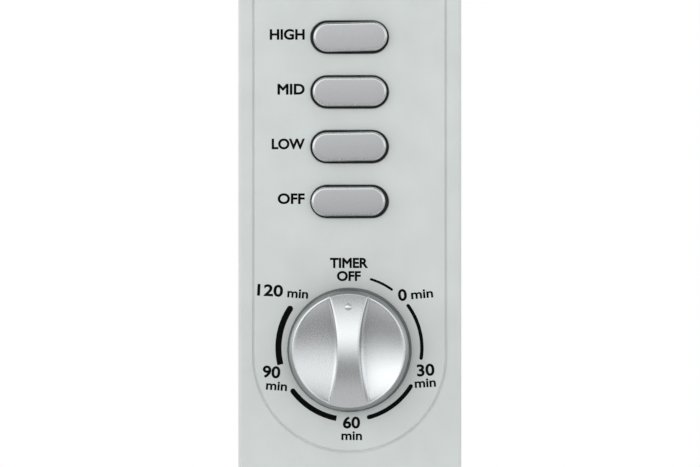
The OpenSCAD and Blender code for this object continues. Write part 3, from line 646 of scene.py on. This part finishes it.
def control_cover():
    """Shell with its holes, engraved line, side slots and screw posts."""
    shape = Shape()
    hole_edge = [(0.45, 0), (0.2, 0.06), (0.06, 0.2), (0, 0.45), (0, WALL)]
    outlines = [lambda g, z=z: stadium(0, z, HOLE_W, HOLE_H, g, 20) for z in BUTTON_Z.values()]
    outlines += [lambda g, z=z: stadium(0, z, SHAFT_HOLE, SHAFT_HOLE, g, 12)
                 for z in (TIMER_Z, THERMOSTAT_Z)]
    outlines.append(lambda g: stadium(0, LAMP_Z, LAMP_HOLE, LAMP_HOLE, g, 10))
    mouths, throats = [], []
    for outline in outlines:
        rows = [shape.add([place(x, d, z) for x, z in outline(grow)]) for grow, d in hole_edge]
        shape.strips(rows)
        mouths.append(rows[0])
        throats.append(rows[-1])
    # the engraved line is a soft trough, so the front is filled inside it and outside it
    steps = 8
    trough = []
    for k in range(steps + 1):
        across = -1 + 2 * k / steps
        d = LINE_DEEP * (0.5 + 0.5 * math.cos(math.pi * across))
        loop = engraved_loop(across * LINE_W / 2)
        trough.append(shape.add([place(x, d, z) for x, z in loop]))
    shape.strips(trough)
    shape.fill(trough[0], mouths)
    outer_vents, inner_vents = {}, {}
    half = COVER_W / 2
    for side in (-1, 1):
        outer_vents[side], inner_vents[side] = [], []
        for wide, loop in zip(vent_loops(VENT_EDGE), vent_loops()):
            rows = [shape.add([place(side * half, d, z) for d, z in wide]),
                    shape.add([place(side * (half - VENT_EDGE), d, z) for d, z in loop]),
                    shape.add([place(side * (half - WALL), d, z) for d, z in loop])]
            shape.strips(rows)
            outer_vents[side].append(rows[0])
            inner_vents[side].append(rows[-1])
    outer = cover_skin(shape, 0, [trough[-1]], outer_vents)
    inner = cover_skin(shape, WALL, throats, inner_vents)
    shape.fill(outer, [inner])
    screws_lo, screws_hi = box_mm("cover_screws")
    post_end = HOUSING_BACK - POST_BACK
    post = [(POST_BORE_R, POST_BORE_DEPTH), (POST_BORE_R, post_end), (POST_R, post_end),
            (POST_R, WALL - 0.5)]
    for x in (screws_lo.x + SCREW_R, screws_hi.x - SCREW_R):
        for z in (screws_lo.z + SCREW_R, screws_hi.z - SCREW_R):
            shape.lathe(post, x, z)
    cover = shape.make("control_cover_shell", COVER, 35)
    settle(cover, "root", "cover_plastic", "control_cover")


control_cover()

# ---------------------------------------------------------------- buttons

CAP_CORE = -6.7           # growth that shrinks a cap's outline to nearly its middle line
CAP_FACE = 2              # thickness of the face
CAP_WALL = 1.6
LIP_REACH = 2.25
LIP_FRONT, LIP_BACK, CAP_BACK = 2.9, 4.5, 5.5     # behind the panel's face
PLUNGER = 5.0
NOSE_W, NOSE_H = 13.0, 2.0
NOSE_X = 9.0
NOSE_FRONT, NOSE_BACK = 30, 32.5
SPRING_WIRE = 0.4         # its radius
SPRING_TURNS = 7.5
CLOSED_TURNS = 1.0        # at each end
CLOSED_PITCH = 0.85
SPRING_STEPS = 24         # in each turn


def button(name):
    """Cap with softly rounded edges, its lip, its plunger and the plunger's nose."""
    lo, hi = box_mm("button_" + name)
    cx, cz = (lo.x + hi.x) / 2, BUTTON_Z[name]
    front = depth_of(lo.y)
    lean = CAP_LEAN[name]
    face = [(CAP_CORE, 0.0), (-5.2, 0.01), (-3.6, 0.03), (-2.0, 0.07), (-1.1, 0.11),
            (-0.85, 0.15), (-0.66, 0.24), (-0.36, 0.50), (-0.2, 0.66), (-0.09, 0.84),
            (-0.03, 1.05), (0.0, 1.25)]
    face = [(grow, front + d) for grow, d in face]
    rest = [(0, LIP_FRONT), (LIP_REACH, LIP_FRONT), (LIP_REACH, LIP_BACK), (0, LIP_BACK),
            (0, CAP_BACK), (-CAP_WALL, CAP_BACK), (-CAP_WALL, front + CAP_FACE),
            (CAP_CORE, front + CAP_FACE)]
    shape = Shape()
    rows = []
    for grow, d in face + rest:
        loop = stadium(cx, cz, CAP_W, CAP_H, grow, 20, lean)
        rows.append(shape.add([place(x, d, z) for x, z in loop]))
    rim = 4                   # the row of the face where the painted highlight on its edge begins
    shape.strips(rows[:rim + 1])
    shape.fill(rows[0])
    # painted highlight: the cap's edge in the lighter silver
    shape.begin(SILVER)
    shape.strips(rows[rim:len(face)])
    # painted shade: everything behind the face is charcoal, so the gap round the cap is dark
    shape.begin(CHARCOAL)
    shape.strips(rows[len(face) - 1:])
    shape.fill(rows[-1])
    for width, height, x, near, far in (
            (PLUNGER, PLUNGER, 0, front + CAP_FACE, depth_of(hi.y)),
            (NOSE_W, NOSE_H, NOSE_X, NOSE_FRONT, NOSE_BACK)):
        loop = rounded(x, cz, width, height, 0.4)
        stem = [shape.add([place(px, d, pz) for px, pz in loop]) for d in (near, far)]
        shape.strips(stem)
        shape.fill(stem[0])
        shape.fill(stem[1])
    cap = shape.make("cap_" + name, CAP_SILVER, 50)
    settle(cap, "button_" + name, "silver_plastic", "button_" + name)


def spring(name):
    """Round wire, closed at both ends, between the cap and the switch body."""
    lo, hi = box_mm("spring_" + name)
    radius = (hi.x - lo.x) / 2 - SPRING_WIRE
    start, end = depth_of(lo.y) + SPRING_WIRE, depth_of(hi.y) - SPRING_WIRE
    turns, closed = SPRING_TURNS, CLOSED_TURNS
    path = []
    for k in range(int(turns * SPRING_STEPS) + 1):
        turn = k / SPRING_STEPS
        share = min(max((turn - closed) / (turns - 2 * closed), 0), 1)
        ends = (min(turn, closed) + max(turn - turns + closed, 0)) * CLOSED_PITCH
        depth = start + ends + share * (end - start - 2 * closed * CLOSED_PITCH)
        angle = TAU * turn
        path.append(place(radius * math.cos(angle), depth,
                          BUTTON_Z[name] + radius * math.sin(angle)))
    shape = Shape()
    shape.tube(path, SPRING_WIRE * MM)
    piece = shape.make("coil_" + name, ZINC)
    settle(piece, "root", "zinc_steel", "spring_" + name)
    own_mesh(piece)


for button_name in BUTTONS:
    button(button_name)
    spring(button_name)

# ---------------------------------------------------------------- knobs

KNOB_FOOT_R = 28.95
KNOB_FRONT_R = 28.2
KNOB_GAP = 0.8            # between the knob and the panel
KNOB_WALL = 2.6
KNOB_ROOF = 4.3           # height of the recess behind the knob
HUB_R = 7
BORE_R = 3                # for the shaft
BORE_END = 13             # above the panel
RIM_H = 13.4              # rim, and where the bar's crown ends
RIM_FLAT = 0.30           # round the scoops
RIM_FALL = 2.2            # height of the rim's rounding, over its width
CROWN_R = 51.8
CROWN_BLEND = 1.2         # across the bar's sides, where its crown meets the rim
CROWN_SOFT = 0.4          # how softly the crown meets the rim at the ends of the bar
SCOOP_R = 25.5            # outer edge of the scoops
SCOOP_DEEP = 5.0
SCOOP_POWERS = (0.9, 1.7)     # shape of its floor along the bar and away from it
WAIST = 5.1               # half the bar's width in its middle
BAR_SIDE_R = 80.0
BAR_EDGE = 0.9            # rounding along the bar's top
BAR_FOOT = 1.1            # rounding along its foot
BAR_LEAN = 0.15           # how far its side leans out
HEIGHT_SHARE = 0.45       # the most of the bar's height that a rounding takes
WIDTH_SHARE = 0.3         # the most of the scoop's width that the foot or the lean takes
BAR_SHARES = (0, 0.25, 0.5, 0.75, 0.92)   # of its half width, where its flat top has points
ROUND_STEPS = 5           # along each rounding
SCOOP_COLUMNS = 18
HALF_ROWS = 42            # rows of points above the knob's middle, and as many below
DOT_UP = 20.0


def bar_half_width(v):
    """Half the bar's width, v above its middle."""
    return WAIST + BAR_SIDE_R - math.sqrt(BAR_SIDE_R ** 2 - v * v)


def scoop_corner():
    """How far above the knob's middle the bar's side meets the scoop's edge."""
    v = SCOOP_R
    for _ in range(20):
        v = math.sqrt(SCOOP_R ** 2 - bar_half_width(v) ** 2)
    return v


def knob_rows(top_h):
    """Rows of (across, up, height) over the bar and both scoops, and the height of the rim."""
    corner = scoop_corner()

    def crown(v):
        """Height of the bar's top."""
        return top_h - CROWN_R + math.sqrt(CROWN_R ** 2 - v * v)

    def rim_top(u, v):
        """Height of the rim, raised where the bar's crown runs out over it."""
        share = (bar_half_width(v) + CROWN_BLEND / 2 - abs(u)) / CROWN_BLEND
        share = max(0.0, min(1.0, share))
        return RIM_H + share * (smooth_max(crown(v), RIM_H, CROWN_SOFT) - RIM_H)

    def scoop_h(t, v):
        """Height of the scoop's floor, with t from 0 at the bar to 1 at the rim."""
        along, away = SCOOP_POWERS
        deep = SCOOP_DEEP * max(0.0, 1 - (v / corner) ** 2) ** along
        return RIM_H - deep * (1 - max(t, 0.0) ** away)

    def half_row(v, reach):
        """(across, height) from the bar's middle out to the rim."""
        w = bar_half_width(v)
        top = crown(v)
        floor = scoop_h(0, v)
        room = max(reach - w, 0.01)
        edge = min(BAR_EDGE, HEIGHT_SHARE * (top - floor))
        foot = min(BAR_FOOT, HEIGHT_SHARE * (top - floor), WIDTH_SHARE * room)
        lean = min(BAR_LEAN, WIDTH_SHARE * room)
        row = [((w - edge) * f, top) for f in BAR_SHARES]
        turns = [math.radians(90 / ROUND_STEPS * k) for k in range(ROUND_STEPS + 1)]
        row += [(w - edge + edge * math.sin(a), top - edge + edge * math.cos(a)) for a in turns]
        row += [(w + lean + foot * (1 - math.cos(a)), floor + foot * (1 - math.sin(a)))
                for a in turns]
        start = w + lean + foot
        for k in range(1, SCOOP_COLUMNS + 1):
            x = start + (reach - start) * k / SCOOP_COLUMNS
            row.append((x, scoop_h((x - w) / room, v)))
        return row

    limit = math.asin(corner / SCOOP_R)
    rows = []
    for j in range(2 * HALF_ROWS + 1):
        phi = limit * (j / HALF_ROWS - 1)
        v = SCOOP_R * math.sin(phi)
        half = half_row(v, SCOOP_R * math.cos(phi))
        row = [(-x, v, h) for x, h in reversed(half[1:])] + [(x, v, h) for x, h in half]
        rows.append(row)
    return rows, rim_top


def knob(name, body, z_axis, replaced):
    """Round knob with two scoops, the bar between them and its pointer dot."""
    shape = Shape()

    def at(u, v, h):
        return place(u, -h, z_axis + v)

    rows, rim_top = knob_rows(-depth_of(box_mm(replaced)[0].y))
    grid = [shape.add([at(*p) for p in row]) for row in rows]
    shape.strips(grid, closed=False)
    # columns from the bar's middle to the end of its rounding
    bar_n = len(BAR_SHARES) + ROUND_STEPS
    middle = len(grid[0]) // 2
    ends = []
    steps = 4                 # from the grid's first or last row to the rim
    for index, up in ((-1, 1), (0, -1)):
        span = slice(middle - bar_n, middle + bar_n + 1)
        strip = [grid[index][span]]
        start = rows[index][span]
        for m in range(1, steps + 1):
            line = []
            for u, v, _ in start:
                far = up * math.sqrt(SCOOP_R ** 2 - u * u)
                v += (far - v) * m / steps
                line.append(at(u, v, rim_top(u, v)))
            strip.append(shape.add(line))
        shape.strips(strip, closed=False)
        ends.append(strip[-1])
    boundary = [row[-1] for row in grid] + list(reversed(ends[0]))
    boundary += [row[0] for row in reversed(grid)] + ends[1]
    directions = [Vector((shape.points[i].x / MM, shape.points[i].z / MM - z_axis)).normalized()
                  for i in boundary]
    rings = [boundary]
    start = SCOOP_R + RIM_FLAT
    reach = KNOB_FRONT_R - start
    rim = [(start, 0)]
    rim += [(start + reach * math.sin(a), RIM_FALL * reach * (1 - math.cos(a)))
            for a in (math.radians(10 * k) for k in range(1, 9))]
    for r, drop in rim:
        rings.append(shape.add([at(r * d.x, r * d.y, rim_top(r * d.x, r * d.y) - drop)
                                for d in directions]))
    rim_shade_start, skirt_shade_start = 2, 7          # rings where the painted shade begins: a lighter one on the rim's rounding, a darker one on the side wall and under the knob
    shape.strips(rings[:rim_shade_start + 1])
    # painted shade on the outer part of the rim's rounding
    shape.begin(RIM_SHADE)
    shape.strips(rings[rim_shade_start:skirt_shade_start + 1])
    # darker painted shade on the side wall and under the knob
    shape.begin(SKIRT_SHADE)
    shape.strips(rings[skirt_shade_start:])
    skirt = [(KNOB_FOOT_R, KNOB_GAP + 0.5), (KNOB_FOOT_R - 0.15, KNOB_GAP + 0.15),
             (KNOB_FOOT_R - 0.5, KNOB_GAP), (KNOB_FOOT_R - KNOB_WALL, KNOB_GAP),
             (KNOB_FOOT_R - KNOB_WALL, KNOB_ROOF), (HUB_R, KNOB_ROOF), (HUB_R, KNOB_GAP),
             (BORE_R, KNOB_GAP), (BORE_R, BORE_END), (0.05, BORE_END)]
    rings = rings[-1:]
    for r, h in skirt:
        rings.append(shape.add([at(r * d.x, r * d.y, h) for d in directions]))
    shape.strips(rings)
    shape.begin(SILVER)
    dome = [(1.95, -0.25), (1.75, 0.02), (1.6, 0.25), (1.35, 0.52), (0.95, 0.72), (0.5, 0.83),
            (0.02, 0.86)]
    base = rim_top(0, 0) - CROWN_R + math.sqrt(CROWN_R ** 2 - DOT_UP ** 2)
    shape.lathe([(r, -base - h) for r, h in dome], 0, z_axis + DOT_UP)
    piece = shape.make(name, SILVER, 60, weighted=False)
    settle(piece, body, "silver_plastic", replaced)


knob("timer_knob_body", "timer", TIMER_Z, "timer_knob")
knob("thermostat_knob_body", "thermostat", THERMOSTAT_Z, "thermostat_knob")

# ---------------------------------------------------------------- printed legends

INK_T = 0.04              # thickness of the ink
BOLD = 0.23               # how far the letters' outlines are pushed outwards
BOLD_SMALL = 0.17
SPIKE = 0.6               # a corner's two outward directions add to less than this at a spike
SCALE_R = 33.4            # arcs round the timer
SCALE_RIGHT = 0.25        # their centre, from the timer's axis
SCALE_UP = 0.85
TITLE_H = 4.75            # capitals above the timer
TITLE_X = -0.35
WORD_H = 5.05             # capitals beside the buttons
WORD_GAP = 20.9           # from the buttons' axis to the words on their left
WORD_UP = 1.3


def ink_piece(name, points, faces):
    """Flat print on the panel: outlines (x, z) in millimetres with their faces."""
    shape = Shape()
    front = shape.add([place(x, -INK_T, z) for x, z in points])
    shape.faces = [tuple(front[i] for i in face) for face in faces]
    piece = shape.make(name, INK, 60, weighted=False)
    settle(piece, "root", "charcoal_plastic")


def embolden(points, faces, growth):
    """Pushes the outline of a flat mesh outwards."""
    used = {}
    for face in faces:
        for a, b in zip(face, face[1:] + face[:1]):
            used[a, b] = True
    pushes = {}
    for a, b in used:
        if (b, a) not in used:
            along = Vector(points[b]) - Vector(points[a])
            if along.length > 0:
                outwards = Vector((along.y, -along.x)).normalized()
                pushes.setdefault(a, []).append(outwards)
                pushes.setdefault(b, []).append(outwards)
    moved = list(points)
    for i, found in pushes.items():
        total = sum(found, Vector((0, 0)))
        if len(found) == 2 and total.length > SPIKE:
            share = 2 / total.length_squared
            moved[i] = tuple(Vector(points[i]) + total * share * growth)
    return moved


def lettering(name, text, x, z, width, height, turn=0.0, bold=BOLD):
    """Word centred on (x, z), fitted to a width and a height, and turned in degrees."""
    curve = bpy.data.curves.new(name, "FONT")
    curve.body = text
    curve.resolution_u = 6
    source = bpy.data.objects.new(name, curve)
    bpy.context.scene.collection.objects.link(source)
    bpy.context.view_layer.update()
    mesh = bpy.data.meshes.new_from_object(source)
    tidy_mesh(mesh)
    points = [(v.co.x, v.co.y) for v in mesh.vertices]
    faces = [tuple(p.vertices) if p.normal.z > 0 else tuple(reversed(p.vertices))
             for p in mesh.polygons]
    bpy.data.meshes.remove(mesh)
    bpy.data.objects.remove(source)
    bpy.data.curves.remove(curve)
    left, right = min(p[0] for p in points), max(p[0] for p in points)
    low, high = min(p[1] for p in points), max(p[1] for p in points)
    flat = [(((px - left) / (right - left) - 0.5) * (width - 2 * bold),
             ((py - low) / (high - low) - 0.5) * (height - 2 * bold)) for px, py in points]
    cosine, sine = math.cos(math.radians(turn)), math.sin(math.radians(turn))
    fitted = [(x + u * cosine - v * sine, z + u * sine + v * cosine)
              for u, v in embolden(flat, faces, bold)]
    ink_piece(name, fitted, faces)


def scale_arc(name, start, end, thickness, square_start):
    """Arc round the timer, in degrees clockwise from the top. Its end is round, and its start
    is round or square."""
    cx, cz = SCALE_RIGHT, TIMER_Z + SCALE_UP
    steps = 30
    half = thickness / 2
    trim = half / SCALE_R
    first = math.radians(start) + (0 if square_start else trim)
    last = math.radians(end) - trim

    def spot(r, a):
        """Point at a radius, at an angle clockwise from the top."""
        return (cx + r * math.sin(a), cz + r * math.cos(a))

    def tip(a, outwards):
        """Round end at that angle."""
        px, pz = spot(SCALE_R, a)
        turns = [math.pi * k / 8 for k in range(1, 8)]
        along = (math.cos(a) * outwards, -math.sin(a) * outwards)
        across = (math.sin(a), math.cos(a))
        return [(px + half * (math.sin(t) * along[0] + math.cos(t) * across[0]),
                 pz + half * (math.sin(t) * along[1] + math.cos(t) * across[1])) for t in turns]

    angles = [first + (last - first) * k / steps for k in range(steps + 1)]
    outer = [spot(SCALE_R + half, a) for a in angles]
    inner = [spot(SCALE_R - half, a) for a in reversed(angles)]
    loop = outer + tip(last, 1) + inner
    if not square_start:
        loop += reversed(tip(first, -1))
    flat = [Vector((x, z, 0)) for x, z in loop]
    ink_piece(name, loop, tessellate_polygon([flat]))


for button_name, width in zip(BUTTONS, (16.3, 12.7, 15.4, 12.6)):
    lettering("legend_" + button_name, button_name.upper(), -WORD_GAP - width / 2,
              BUTTON_Z[button_name] + WORD_UP, width, WORD_H)
for label, up, width in (("TIMER", 40.4, 17.6), ("OFF", 34.3, 11.1)):
    lettering("legend_timer_" + label.lower(), label, TITLE_X, TIMER_Z + up, width, TITLE_H)
# (text, right of the timer's axis, above it, width, height, turn)
numbers = [("0", 24.6, 25.5, 4.1, 5.6, 5), ("30", 35.4, -9.4, 8.2, 5.7, 4),
           ("60", 0.9, -33.9, 8.0, 5.6, 0), ("90", -36.4, -10.4, 8.3, 5.7, -4),
           ("120", -37.0, 27.6, 12.0, 5.6, -3)]
for label, x, up, width, height, turn in numbers:
    lettering("scale_" + label, label, x, TIMER_Z + up, width, height, turn)
units = [("0", 33.7, 26.0, 10.2, 4.1, 5), ("30", 35.2, -15.4, 9.8, 4.1, 4),
         ("60", 1.0, -40.0, 9.6, 4.1, 0), ("90", -34.0, -16.9, 9.8, 4.1, -4),
         ("120", -24.1, 26.1, 9.7, 4.1, -4)]
for label, x, up, width, height, turn in units:
    lettering("unit_" + label, "min", x, TIMER_Z + up, width, height, turn, BOLD_SMALL)
# (start, end, thickness, whether the start is square)
arcs = [(16, 36.5, 1.15, False), (52.5, 99.5, 1.6, False), (120.5, 166.5, 2.0, False),
        (191, 235, 2.5, True), (256.5, 305.5, 2.85, True)]
for i, scale in enumerate(arcs):
    scale_arc(f"scale_arc_{i + 1}", *scale)

# ---------------------------------------------------------------- carry handle

HANDLE_W = 100.0
HANDLE_BAR = 13.0         # thickness of the bar and of its arms
HANDLE_R = 18.0           # outer corners
HANDLE_INNER_R = 9.0
HANDLE_EDGE = 5.0         # rounding along the bar
HANDLE_STEPS = 14         # along each of its bends
PAD_W, PAD_DEEP, PAD_T = 23.9, 30.0, 3.0
PAD_R = 3.0
PAD_EDGE = 1.6            # rounding of a pad's top
PAD_PAST = 2              # how far a pad reaches past the arm's outer side
PAD_LEDGE = 4             # and past the bar's front and rear


def soften(lo, hi, radius):
    """(inset, position) from lo to hi, with both ends rounded."""
    steps = 6
    turns = [math.radians(90 * k / steps) for k in range(steps + 1)]
    first = [(radius * (1 - math.sin(a)), lo + radius * (1 - math.cos(a))) for a in turns]
    return first + [(inset, lo + hi - at) for inset, at in reversed(first)]


def carry_handle():
    """Bar bent down to two arms, each on a pad."""
    lo, hi = box_mm("carry_handle")
    half = HANDLE_W / 2
    shape = Shape()
    rows = []
    for inset, y in soften(lo.y + PAD_LEDGE, hi.y - PAD_LEDGE, HANDLE_EDGE):
        outer, inner = HANDLE_R - inset, HANDLE_INNER_R + inset
        side, top = half - inset, hi.z - inset
        hole, under = half - HANDLE_BAR + inset, hi.z - HANDLE_BAR + inset
        loop = [(side, lo.z)] + arc(side - outer, top - outer, outer, 0, 90, HANDLE_STEPS)
        loop += arc(outer - side, top - outer, outer, 90, 180, HANDLE_STEPS)
        loop += [(-side, lo.z), (-hole, lo.z)]
        loop += reversed(arc(inner - hole, under - inner, inner, 90, 180, HANDLE_STEPS))
        loop += reversed(arc(hole - inner, under - inner, inner, 0, 90, HANDLE_STEPS))
        loop.append((hole, lo.z))
        rows.append(shape.add([place(x, depth_of(y), z) for x, z in loop]))
    shape.strips(rows)
    shape.fill(rows[0])
    shape.fill(rows[-1])
    turns = [math.radians(18 * k) for k in range(6)]
    pad = [(0, lo.z)] + [(PAD_EDGE * (1 - math.cos(a)),
                          lo.z + PAD_T - PAD_EDGE * (1 - math.sin(a))) for a in turns]
    for x in (half - PAD_W / 2 + PAD_PAST, PAD_W / 2 - PAD_PAST - half):
        rows = []
        for inset, z in pad:
            loop = rounded(x, depth_of((lo.y + hi.y) / 2), PAD_W, PAD_DEEP, PAD_R, -inset)
            rows.append(shape.add([place(px, depth, z) for px, depth in loop]))
        shape.strips(rows)
        shape.fill(rows[0])
        shape.fill(rows[-1])
    settle(shape.make("handle", CHARCOAL, 50), "root", "charcoal_plastic", "carry_handle")


carry_handle()

# ---------------------------------------------------------------- the CAD nodes that stay

BROKEN_EDGE = 0.4         # on most nodes
CASTOR_EDGE = 1.0
EDGE = {"cord_winder": 1.2, "wing_nuts": 0.8, "cord_gland": 0.8}
CREASE = 40               # degrees: edges sharper than this are broken
FINS = 7
KEPT = {
    COVER: ["rear_housing"],
    CHARCOAL: ["cord_gland", "wing_nuts", "cord_winder"],
    FIN_PAINT: ["header_collars", "header_caps", "foot_front", "foot_rear"],
    ZINC: ["heat_shield", "cover_screws", "component_screws", "handle_screws", "latch_bar",
           "timer_shaft", "thermostat_shaft", "tilt_pendulum", "oil_filler_plug",
           "mounting_studs", "stud_spacers", "mounting_nuts", "thermal_cutout", "u_bolts"],
    BRASS: ["element_flange"],
    COPPER: ["element_upper", "element_lower"],
    BAKELITE: ["switch_body", "thermostat_case", "tilt_switch_frame"],
    WHITE: ["timer_case", "terminal_block"],
    CERAMIC: ["element_insulators"],
    LENS: ["pilot_lamp"],
    SLEEVE: ["wiring"],
}
for i in range(FINS):
    KEPT[FIN_PAINT].append(f"fin_{i + 1}")
for row in ("front", "rear"):
    for side in ("left", "right"):
        KEPT[CHARCOAL].append(f"castor_hood_{row}_{side}")
        KEPT.setdefault(WHEEL, []).append(f"castor_wheels_{row}_{side}")


def dress(node, material, width):
    """Gives a CAD node its material and softly broken edges."""
    thing = nodes[node]
    thing.data.materials.clear()
    thing.data.materials.append(material)
    weld = thing.modifiers.new("weld", "WELD")
    weld.merge_threshold = MERGE
    bevel = thing.modifiers.new("bevel", "BEVEL")
    bevel.width = width * MM
    bevel.segments = 2
    bevel.limit_method = "ANGLE"
    bevel.angle_limit = math.radians(CREASE)
    bevel.harden_normals = False
    normals = thing.modifiers.new("normals", "WEIGHTED_NORMAL")
    normals.keep_sharp = False


for material, kept in KEPT.items():
    for node in kept:
        castor = node.startswith("castor")
        dress(node, material, CASTOR_EDGE if castor else EDGE.get(node, BROKEN_EDGE))
